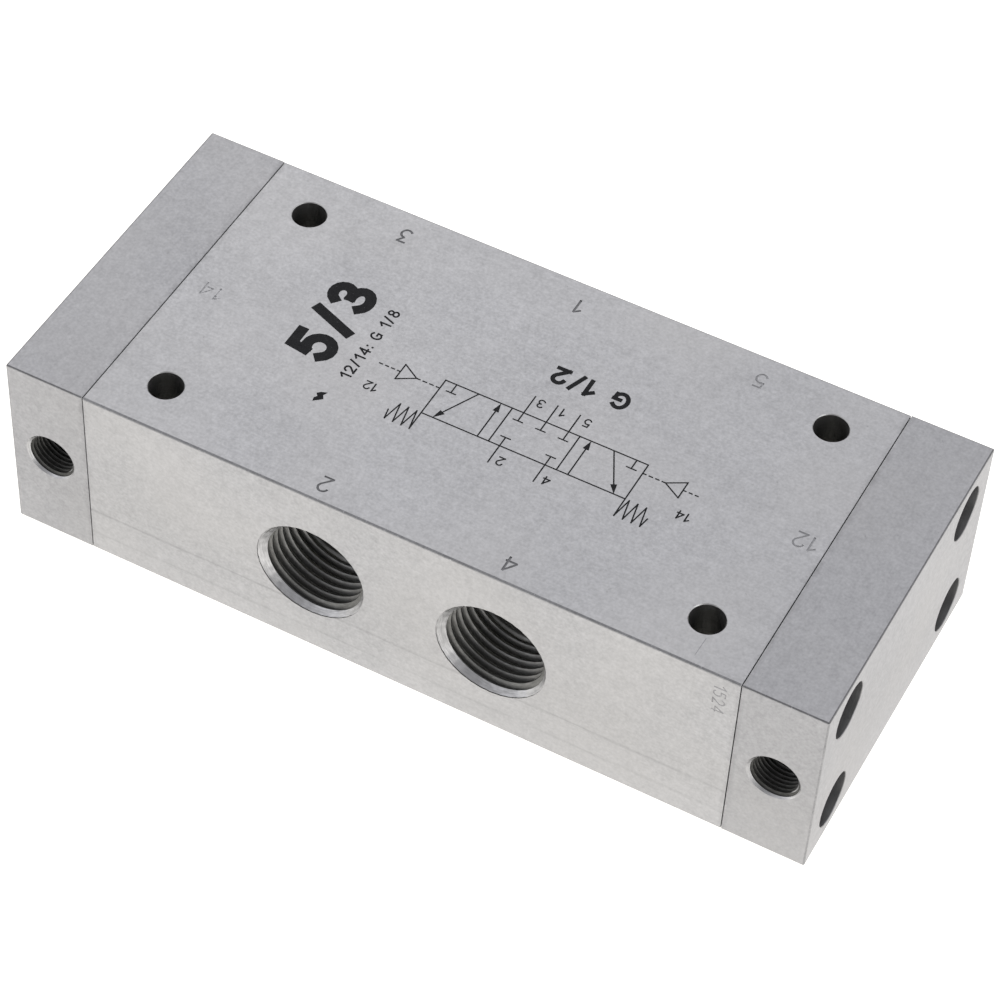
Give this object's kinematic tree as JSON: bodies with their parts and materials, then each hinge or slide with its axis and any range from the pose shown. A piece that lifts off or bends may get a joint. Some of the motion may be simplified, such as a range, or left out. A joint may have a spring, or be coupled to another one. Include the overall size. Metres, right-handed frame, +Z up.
{
  "type": "directional control valve",
  "caption": "Air-piloted spring-centred spool valve: a rectangular aluminium body with screwed end caps, threaded working ports, pilot ports and a sliding spool.",
  "frame": {"origin": "centre of the footprint, on the mounting face", "axes": "+X along the valve from pilot cap 14 to pilot cap 12, -Y out of the front face with ports 2 and 4, +Z up from the mounting face"},
  "size_m": [0.16, 0.07, 0.04],
  "materials": {
    "housing_aluminium": "fine blasted, clear anodised, matte",
    "spool_aluminium": "ground and polished",
    "piston_aluminium": "turned",
    "screw_steel": "black oxidised steel, satin",
    "spring_steel": "drawn wire, bright",
    "ring_steel": "phosphated, oiled",
    "bush_brass": "turned",
    "seal_rubber": "moulded, lightly greased",
    "spacer_polymer": "moulded, matte",
    "marking_ink": "thin printed ink, matte"
  },
  "bodies": {
    "housing": {"valve_body": "housing_aluminium", "end_cap_14": "housing_aluminium", "guide_bush_14": "bush_brass", "retaining_ring_14": "ring_steel", "centring_spring_14": "spring_steel", "cap_face_seal_14": "seal_rubber", "cap_screw_14_1": "screw_steel", "cap_screw_14_2": "screw_steel", "cap_screw_14_3": "screw_steel", "cap_screw_14_4": "screw_steel", "end_cap_12": "housing_aluminium", "guide_bush_12": "bush_brass", "retaining_ring_12": "ring_steel", "centring_spring_12": "spring_steel", "cap_face_seal_12": "seal_rubber", "cap_screw_12_1": "screw_steel", "cap_screw_12_2": "screw_steel", "cap_screw_12_3": "screw_steel", "cap_screw_12_4": "screw_steel", "port_1_spacer": "spacer_polymer", "port_2_spacer": "spacer_polymer", "port_3_spacer": "spacer_polymer", "port_4_spacer": "spacer_polymer", "port_5_spacer": "spacer_polymer", "spool_seal_1": "seal_rubber", "spool_seal_2": "seal_rubber", "spool_seal_3": "seal_rubber", "spool_seal_4": "seal_rubber", "spool_seal_5": "seal_rubber", "spool_seal_6": "seal_rubber"},
    "spool_assembly": {"spool": "spool_aluminium", "pilot_piston_14": "piston_aluminium", "pilot_piston_12": "piston_aluminium", "piston_seal_14": "seal_rubber", "piston_seal_12": "seal_rubber"}
  },
  "joints": [
    {"name": "spool_slide", "type": "slide", "parent": "housing", "child": "spool_assembly", "axis": [1, 0, 0], "range_m": [-0.006, 0.006], "stiffness_N_per_m": 6000, "deforming": ["centring_spring_14", "centring_spring_12"]}
  ]
}
